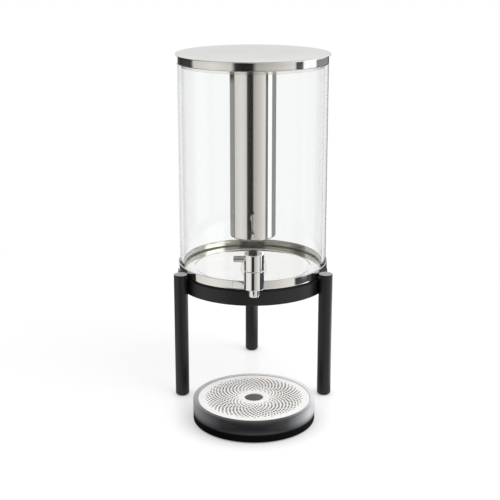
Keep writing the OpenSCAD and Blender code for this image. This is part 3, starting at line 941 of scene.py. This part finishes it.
@dataclass
class Lid(Assembly):
    """Steel lid with a short skirt."""

    skirt: Ring = Ring(98.5, 100.0, 446.6, 456.8)
    radius: float = 102.7
    top: float = 458.3

    def build(self) -> None:
        """Makes the disc and its skirt in one piece."""
        (inner, outer, low, under), r, top = self.skirt, self.radius, self.top
        cover = lathe([
            (0.0, under), (inner, under, 0.4), (inner, low, 0.2), (outer, low, 0.3), (outer, under, 0.3),
            (r, under, 0.74), (r, top, 0.74), (0.0, top),
        ], turns=LARGE)
        self.shop.piece("lid_cover", cover.placed(STAND_AXIS), BANDED, "lid", "lid_shell")

    def dress(self) -> None:
        """Finishes the ring, the collar and the seal under the lid."""
        self.shop.dress(POLISHED, "lid_ring", "tube_collar")
        self.shop.dress(SILICONE, "lid_seal")


@dataclass
class IceTube(Assembly):
    """Steel tube for ice, closed at its lower end."""

    wall: Ring = Ring(29.8, 31.0, 212.9, 456.4)
    spigot: Ring = Ring(26.8, 29.75, 212.9, 215.9)
    low: float = 209.9

    def build(self) -> None:
        """Makes the tube and its welded bottom."""
        inner, r, seam, high = self.wall
        wall = lathe([(inner, seam), (r, seam), (r, high, 0.3), (inner, high, 0.3)], True, MEDIUM)
        self.shop.piece("tube_wall", wall.placed(STAND_AXIS), DRAWN, "cooler", "ice_tube")
        (bore, spigot, _, top), low = self.spigot, self.low
        cap = lathe([
            (0.0, low), (r, low, 2.0), (r, seam, 0.1), (spigot, seam), (spigot, top), (bore, top),
            (bore, seam), (0.0, seam),
        ], turns=MEDIUM)
        self.shop.piece("tube_cap", cap.placed(STAND_AXIS), DRAWN, "cooler", "tube_base")

    def dress(self) -> None:
        """Finishes the bayonet pins."""
        self.shop.dress(POLISHED, "tube_pins")


@dataclass
class Tap(Assembly):
    """Quarter-turn tap: a fixed barrel with a spout, and a knob with a lever."""

    axis_z: float = 193.5
    barrel: Ring = Ring(7.55, 13.0, 176.5, 200.9)
    neck: float = 9.95
    neck_top: float = 205.9
    socket: float = 5.55
    socket_top: float = 182.5
    tip: Ring = Ring(4.0, 6.3, 165.9, 167.3)
    nozzle: float = 7.0
    stem: float = 5.5
    pipe: Ring = Ring(4.0, 6.5, 82.0, 122.0)
    pipe_turns: int = 64
    thread: Span = (83.0, 101.0)
    thread_pitch: float = 1.5
    thread_depth: float = 0.4
    thread_rows: int = 73
    ring: Ring = Ring(6.55, 11.0, 102.0, 105.0)
    knob: Ring = Ring(11.7, 13.0, 201.2, 222.7)
    knob_ceiling: float = 209.3
    shaft: float = 4.55
    shaft_top: float = 220.7
    lever: Ring = Ring(2.5, 4.0, 0.4, 26.0)
    lever_step: float = 4.9
    lever_z: float = 215.4

    def build(self) -> None:
        """Makes the barrel, the stepped spout, the threaded pipe with its ring, the knob and the lever."""
        chamber, r, low, seam = self.barrel
        socket, step, neck, top = self.socket, self.socket_top, self.neck, self.neck_top
        body = lathe([
            (socket, low), (r, low, 0.8), (r, seam, 0.7), (neck, seam), (neck, top, 0.3), (chamber, top),
            (chamber, step), (socket, step),
        ], True)
        self.shop.piece("tap_barrel", body.placed(TAP_AXIS), CHROME, "container", "tap_body")
        (bore, tip, end, rise), nozzle, stem = self.tip, self.nozzle, self.stem
        spout = lathe([
            (bore, end, 0.3), (tip, end, 0.35), (tip, rise), (nozzle, rise, 0.35), (nozzle, low), (stem, low),
            (stem, step, 0.3), (bore, step),
        ], True)
        self.shop.piece("tap_nozzle", spout.placed(TAP_AXIS), CHROME, "container", "tap_spout")
        wall = (0.0, STAND_Y, self.axis_z)
        bore, r, start, end = self.pipe
        rows = [(r, z) for z in np.linspace(*self.thread, self.thread_rows)]
        pipe = [(bore, start), (r, start, 0.5), *rows, (r, end, 0.3), (bore, end)]
        pipe = lathe(pipe, True, self.pipe_turns)
        pipe = threaded(pipe, r, self.thread, self.thread_pitch, self.thread_depth)
        self.shop.piece("tap_pipe", pipe.placed(wall, LIE_FORWARD), CHROME, "container", "tap_shank")
        inner, outer, start, end = self.ring
        ring = lathe([(inner, start), (outer, start, 0.3), (outer, end, 0.6), (inner, end)], True)
        self.shop.piece("tap_ring", ring.placed(wall, LIE_FORWARD), CHROME, "container", "tap_flange")
        (hollow, r, low, top), roof = self.knob, self.knob_ceiling
        knob = lathe([
            (0.0, self.shaft_top), (self.shaft, self.shaft_top), (self.shaft, roof), (hollow, roof),
            (hollow, low), (r, low, 0.7), (r, top, 0.8), (0.0, top),
        ])
        self.shop.piece("tap_cap", knob.placed(TAP_AXIS), CHROME, "tap_handle", "tap_knob")
        (hole, r, start, end), step, side = self.lever, self.lever_step, (0.0, TAP_Y, self.lever_z)
        lever = lathe([(0.0, start), (hole, start), (hole, step), (r, step), (r, end, 0.8), (0.0, end)])
        self.shop.piece("tap_pin", lever.placed(side, LIE_LEFT), NICKEL, "tap_handle", "tap_lever")

    def dress(self) -> None:
        """Finishes the nut, the washers and the plug with its rings and cap nut."""
        self.shop.dress(CHROME, "tap_nut")
        self.shop.dress(SILICONE, "tap_outer_washer", "tap_inner_washer")
        self.shop.dress(BRASS, "tap_plug", "tap_bonnet")
        self.shop.dress(RUBBER, "plug_rings")


@dataclass
class Tray(Assembly):
    """Smoky drip tray on a black foot."""

    wall: Ring = Ring(72.6, 78.7, 10.0, 28.6)
    ledge: Ring = Ring(69.6, 72.6, 24.0, 27.0)
    foot: float = 1.0
    floor: float = 12.0

    def build(self) -> None:
        """Makes the foot, the wall with its ledge, and the floor inside."""
        inner, r, low, top = self.wall
        foot = lathe([(0.0, self.foot), (r, self.foot, 1.6), (r, low), (0.0, low)], turns=LARGE)
        self.shop.piece("tray_foot", foot.placed(TAP_AXIS), FOOT, "tray", "tray_base")
        lip, _, under, ledge = self.ledge
        wall = lathe([
            (inner, low), (r, low), (r, top, 0.7), (inner, top, 0.5), (inner, ledge, 0.2), (lip, ledge, 0.2),
            (lip, under, 0.2), (inner, under),
        ], True, LARGE)
        self.shop.piece("tray_wall", wall.placed(TAP_AXIS), SMOKE, "tray", "tray_shell")
        floor = lathe([(0.0, low), (inner, low), (inner, self.floor), (0.0, self.floor)], turns=LARGE)
        self.shop.piece("tray_floor", floor.placed(TAP_AXIS), FLOOR, "tray", "tray_shell")

    def dress(self) -> None:
        """Finishes the pads."""
        self.shop.dress(RUBBER, "tray_pads")


@dataclass
class Grille(Assembly):
    """Perforated disc, with its holes on a sunflower spiral and a finger hole in the middle."""

    disc: Ring = Ring(12.0, 72.2, 27.0, 28.2)
    margin: float = 1.0
    upright: float = 0.1
    pitch: float = 2.45
    first: int = 67
    last: int = 665
    field_start: float = 20.0
    field_width: float = 43.2
    hole_sides: int = 12
    hole_small: float = 1.2
    hole_large: float = 3.15
    hole_skew: float = 1.3
    hole_ease: float = 0.3

    def build(self) -> None:
        """Makes the disc with its holes."""
        disc = pierced_disc(self.disc, self.holes(), self.hole_sides)
        self.shop.piece("grille_disc", disc.placed(TAP_AXIS), SATIN, "grille", "tray_grille")

    def holes(self) -> np.ndarray:
        """Hole i lies at pitch times the root of i and at i golden angles.

        Its width swells over the field with half a sine wave, skewed outwards and eased.

        Returns:
            Array of (x, y, radius).
        """
        number = np.arange(self.first, self.last + 1)
        reach, way = self.pitch * np.sqrt(number), number * GOLDEN_ANGLE
        along = np.clip((reach - self.field_start) / self.field_width, 0.0, 1.0)
        swell = np.clip(np.sin(math.pi * along ** self.hole_skew), 0.0, 1.0)
        width = self.hole_small + (self.hole_large - self.hole_small) * swell ** self.hole_ease
        return np.stack([reach * np.cos(way), reach * np.sin(way), 0.5 * width], axis=1)

    def dress(self) -> None:
        """Gives the holes' walls the dark tone of a cut edge."""
        away, _, up = self.shop.facing("grille_disc", TAP_Y)
        inside = (away > self.disc.inner + self.margin) & (away < self.disc.outer - self.margin)
        self.shop.line("grille_disc", BURNT, (np.abs(up) < self.upright) & inside)


# The studio, with cards by degrees from the camera's side to the right, brightness and warmth

CARDS = (
    (-180, 0.97), (-164, 0.97), (-157, 0.10), (-140, 0.04), (-106, 0.06), (-100, 0.78, 0.9), (-60, 0.90, 0.8),
    (-33, 0.76, 0.9), (-27, 0.045, 0.5), (-15, 0.022, 0.5), (-1, 0.028, 0.5), (5, 0.48, 1.4), (30, 0.66, 1.2),
    (50, 0.82, 0.9), (65, 0.92, 0.5), (68, 0.08, -0.8), (79, 0.14, -0.8), (82, 1.40), (108, 1.40),
    (111, 0.33, -0.6), (152, 0.33, -0.6), (160, 0.05, -0.6), (180, 0.05),
)
CARDS_ALOFT = (
    (-180, 0.66), (-130, 0.60, 0.5), (-116, 0.30, 1.5), (-74, 0.26, 1.5), (-66, 0.55, 1.5), (-23, 0.48, 1.5),
    (-19, 0.05, 1.0), (19, 0.05, 1.0), (24, 0.55, 1.0), (46, 0.60, 0.5), (51, 3.20, -0.2), (87, 3.20, -0.2),
    (92, 0.50, -0.5), (130, 0.60), (180, 0.66),
)
# Painted reflection of the studio's cards on the floor, glowing for mirrors, by degrees and brightness.
FLOOR_SHEEN = (
    (-180, 0.80), (-152, 0.80), (-142, 0.30), (-114, 0.26), (-104, 0.86), (-62, 0.90), (-44, 0.80),
    (-36, 0.26), (-12, 0.22), (-6, 0.66), (30, 0.76), (62, 0.90), (68, 0.26), (80, 0.24), (84, 0.92),
    (112, 0.92), (120, 0.36), (150, 0.36), (162, 0.80), (180, 0.80),
)
CARD_DEPTH = ((65, 1.0), (67, 0.30), (91, 0.30), (94, 0.28))
LOW_CARD = ((60, 0.0), (75, 1.0), (165, 1.0), (178, 0.0))
HAZE = ((-160, 0.34), (-108, 0.34), (-102, 0.0), (64, 0.0), (68, 0.22), (79, 0.22), (83, 0.0))
FRONT = ((-110, 0.0), (-75, 1.0), (60, 1.0), (95, 0.0))
CEILING = (
    (0.0, 0.66), (0.10, 0.80), (0.135, 0.90), (0.17, 1.06), (0.22, 1.16), (0.45, 1.10), (0.65, 0.62, 0.8),
    (1.0, 0.44, 1.0),
)


class StudioShader(Shader):
    """The studio's floor and surroundings, which look different to the eye and to mirrors."""

    wall_passes: float = 3.5
    paper: Colour = (0.92, 0.92, 0.92)
    paper_rough: float = 0.30
    paper_shine: float = 0.3
    whitening: float = 0.62
    # Painted contact shadow on the floor: its darkest colour, occlusion span, reach, samples and glow.
    shadow: Colour = (0.40, 0.40, 0.40)
    painted_contact_shadow: Span = (0.2, 0.88)
    contact_shadow_reach: float = 0.05
    contact_shadow_samples: int = 16
    contact_shadow_glow: float = 1.12
    far_sheen: Colour = (0.86, 0.86, 0.86)
    sheen_end: Span = (0.47, 0.52)
    patch: float = 3.0
    patch_share: float = 0.9
    patch_right: Span = (0.10, 0.16)
    patch_front: Span = (-0.04, 0.03)
    patch_back: Span = (0.33, 0.37)
    eye_end: Span = (0.35, 0.85)
    floor_end: Span = (0.50, 0.53)
    floor_side: Span = (0.42, 0.46)
    strip_front: Span = (-0.610, -0.598)
    strip_left: Span = (-0.31, -0.28)
    strip_right: Span = (0.0, 0.03)
    strip_slope: float = 0.245
    level: float = 0.70
    gap: Colour = (0.060, 0.066, 0.076)
    card_edge: Span = (-0.002, 0.002)
    glare: Colour = (1.8, 1.8, 1.8)
    glare_top: Span = (-0.37, -0.35)
    haze_top: Span = (-0.140, -0.134)
    haze_foot: Span = (-0.285, -0.275)
    aloft: Span = (0.02, 0.10)
    dim: Colour = (0.36, 0.355, 0.335)
    ceiling_start: float = 0.80
    ceiling_end: float = 0.90
    ceiling_back: float = 0.07

    def rays(self) -> tuple[Socket, Socket]:
        """Tells apart the rays of the eye and of mirrors.

        A ray that stays in a single clear wall counts as the eye's.

        Returns:
            Sockets that are 1 for a ray from the camera, also through clear parts, and for one off a mirror.
        """
        path = self.add("LightPath").outputs
        passed = path["Transmission Depth"]
        inside = self.math("GREATER_THAN", passed, 0.5)
        beyond = self.math("GREATER_THAN", passed, self.wall_passes)
        through = self.math("MAXIMUM", self.flip(inside), beyond)
        bounced = self.math("MULTIPLY", self.math("MINIMUM", path["Glossy Depth"], 1.0), through)
        mirror = self.math("MULTIPLY", bounced, self.flip(path["Is Diffuse Ray"]))
        held = self.math("MULTIPLY", path["Is Glossy Ray"], inside)
        seen = self.fold("MAXIMUM", path["Is Camera Ray"], path["Is Transmission Ray"], held)
        return self.math("MULTIPLY", seen, self.flip(bounced)), mirror

    def compass(self, x: Socket, y: Socket, centre_y: float) -> Socket:
        """The direction from an upright axis at x = 0, as a share of the whole turn from the back."""
        way = self.math("ARCTAN2", x, self.math("SUBTRACT", centre_y, y))
        return self.math("MULTIPLY_ADD", way, 1.0 / FULL_TURN, 0.5)

    def around(self, spot: Socket, stops: tuple[tuple[float, ...], ...]) -> Socket:
        """A ramp over the directions, with stops in degrees from the camera's side to the right."""
        return self.ramp(spot, [((degrees + 180.0) / 360.0, *rest) for degrees, *rest in stops])

    def floor(self) -> None:
        """White card near the object. Far out it is plain white to the eye and not there for mirrors."""
        eye, mirror = self.rays()
        near = self.near(eye, mirror)
        far = self.blend(eye, self.add("BsdfTransparent").outputs[0], self.glow(WHITE))
        wide = self.fade(self.radius((0.0, 0.0)), *self.eye_end)
        share = self.add("Mix", {0: mirror, 2: wide, 3: self.opening()}, data_type="FLOAT").outputs[0]
        self.show(self.blend(share, near, far))

    def near(self, eye: Socket, mirror: Socket) -> Socket:
        """The floor near the object, with a painted contact shadow where something stands close to it.

        Mirrors see a painted reflection of the studio's cards in it, and a glowing patch behind the object on
        the right.

        Args:
            eye: 1 for a ray of the eye.
            mirror: 1 for a ray off a mirror.

        Returns:
            The shader's socket.
        """
        card = self.principled(
            Base_Color=self.paper, Roughness=self.paper_rough, Specular_IOR_Level=self.paper_shine,
        )
        # Painted contact shadow: ambient occlusion darkens the floor's glow near the object.
        reach = {"Distance": self.contact_shadow_reach}
        sky = self.add("AmbientOcclusion", reach, samples=self.contact_shadow_samples).outputs["AO"]
        painted_contact_shadow = self.mix(self.remap(sky, span=self.painted_contact_shadow), self.shadow, WHITE)
        near = self.blend(self.math("MULTIPLY", eye, self.whitening), card, self.glow(painted_contact_shadow, self.contact_shadow_glow))
        x, y, _ = self.split(self.place())
        # Painted reflection: mirrors see the floor glow with the studio's cards.
        sheen = self.around(self.compass(x, y, STAND_Y * MM), FLOOR_SHEEN)
        sheen = self.mix(self.fade(self.radius((0.0, STAND_Y * MM)), *self.sheen_end), sheen, self.far_sheen)
        near = self.blend(mirror, near, self.glow(self.mix(1.0, sheen, painted_contact_shadow, "MULTIPLY")))
        right = self.remap(x, 0.0, self.patch_share, self.patch_right, EASED)
        front, back = self.fade(y, *self.patch_front), self.drop(y, *self.patch_back)
        patch = self.fold("MULTIPLY", mirror, right, front, back)
        return self.blend(patch, near, self.glow(WHITE, self.patch))

    def opening(self) -> Socket:
        """Where the floor is not there for mirrors: away from the stand, but for a strip in front.

        Returns:
            Socket that is 1 where it is open.
        """
        x, y, _ = self.split(self.place())
        front = self.drop(self.math("MULTIPLY_ADD", x, self.strip_slope, y), *self.strip_front)
        left, right = self.drop(x, *self.strip_left), self.fade(x, *self.strip_right)
        away = self.fade(self.radius((0.0, STAND_Y * MM)), *self.floor_end)
        away = self.math("MULTIPLY", away, self.fold("MAXIMUM", front, left, right))
        return self.math("MAXIMUM", away, self.fade(self.math("ABSOLUTE", x), *self.floor_side))

    def world(self) -> None:
        """Even soft light, white to the eye, with the studio for mirrors."""
        eye, mirror = self.rays()
        plain = self.mix(eye, (self.level, self.level, self.level), WHITE)
        light = self.mix(mirror, plain, self.surroundings())
        back = self.add("Background", {"Color": light, "Strength": 1.0}).outputs[0]
        self.add("OutputWorld", {"Surface": back})

    def surroundings(self) -> Socket:
        """The studio that mirrors see: cards and gaps round the object, others aloft, and a bright ceiling.

        Returns:
            The colour's socket.
        """
        x, y, z = self.split(self.add("TexCoord").outputs["Generated"])
        spot = self.compass(x, y, 0.0)
        above = self.remap(self.math("ADD", z, self.around(spot, CARD_DEPTH)), span=self.card_edge)
        cards = self.mix(above, self.gap, self.around(spot, CARDS))
        low = self.math("MULTIPLY", self.around(spot, LOW_CARD), self.remap(z, 1.0, 0.0, self.glare_top))
        cards = self.mix(low, cards, self.glare)
        top, foot = self.remap(z, 1.0, 0.0, self.haze_top), self.remap(z, span=self.haze_foot)
        haze = self.mix(self.math("MULTIPLY", top, foot), BLACK, self.around(spot, HAZE))
        cards = self.mix(1.0, cards, haze, "LIGHTEN")
        once = self.math("LESS_THAN", self.add("LightPath").outputs["Glossy Depth"], 1.5)
        aloft = self.mix(once, self.around(spot, CARDS_ALOFT), self.dim, "LIGHTEN")
        aloft = self.mix(once, aloft, WHITE, "DARKEN")
        cards = self.mix(self.fade(z, *self.aloft), cards, aloft)
        front = self.around(spot, FRONT)
        start = self.math("MULTIPLY", front, self.ceiling_start)
        end = self.math("MULTIPLY_ADD", front, self.ceiling_end, self.ceiling_back)
        return self.mix(self.fade(z, start, end), cards, self.ramp(z, CEILING))


@dataclass
class Studio:
    """White floor, soft light and the camera, in metres and degrees."""

    floor_radius: float = 1.1
    floor_rows: int = 12
    key_power: float = 20.0
    key_size: float = 1.8
    key_at: Place = (1.15, -0.55, 1.25)
    key_turn: Place = (40.0, 0.0, 64.0)
    camera_at: Place = (-0.01865, -1.45798, 0.6307)
    pitch: float = 14.894
    pan: float = -0.567
    lens: float = 82.02
    sensor: float = 36.0
    shift: float = -0.06

    def build(self) -> None:
        """Sets the floor, the world, the light and the camera."""
        bpy.context.scene.view_settings.view_transform = "Standard"
        self.floor()
        self.world()
        self.key()
        self.camera()

    def floor(self) -> None:
        """Round floor on a grid of radius and angle."""
        rows = np.linspace(self.floor_radius / MM, 0.0, self.floor_rows)
        mesh = lathe([(radius, 0.0) for radius in rows]).mesh("studio_floor")
        floor = bpy.data.objects.new("studio_floor", mesh)
        bpy.context.scene.collection.objects.link(floor)
        made = bpy.data.materials.new("studio floor")
        made.use_nodes = True
        StudioShader(made.node_tree).floor()
        mesh.materials.append(made)

    def world(self) -> None:
        """Light and mirrored studio all round."""
        world = bpy.data.worlds.new("studio")
        bpy.context.scene.world = world
        world.use_nodes = True
        world.cycles.sampling_method = "NONE"
        StudioShader(world.node_tree).world()

    def key(self) -> None:
        """Large soft lamp on the right."""
        lamp = bpy.data.lights.new("key", "AREA")
        lamp.shape, lamp.size, lamp.energy = "DISK", self.key_size, self.key_power
        made = bpy.data.objects.new("key", lamp)
        made.location = self.key_at
        made.rotation_euler = [math.radians(turn) for turn in self.key_turn]
        made.visible_camera = made.visible_transmission = made.visible_glossy = False
        bpy.context.scene.collection.objects.link(made)

    def camera(self) -> None:
        """Camera at the photograph's angle."""
        lens = bpy.data.cameras.new("camera")
        lens.sensor_fit, lens.sensor_width, lens.lens = "HORIZONTAL", self.sensor, self.lens
        lens.shift_y = self.shift
        made = bpy.data.objects.new("camera", lens)
        made.location = self.camera_at
        made.rotation_euler = (math.radians(90.0 - self.pitch), 0.0, math.radians(self.pan))
        bpy.context.scene.collection.objects.link(made)
        bpy.context.scene.camera = made


def main() -> None:
    """Builds and dresses every sub-assembly, then sets the studio."""
    logging.basicConfig(level=logging.INFO, format="%(message)s")
    shop = Workshop(frame["nodes"])
    for kind in (Stand, Container, Lid, IceTube, Tap, Tray, Grille):
        part = kind(shop)
        part.build()
        part.dress()
    Studio().build()


if __name__ == "__main__":
    main()
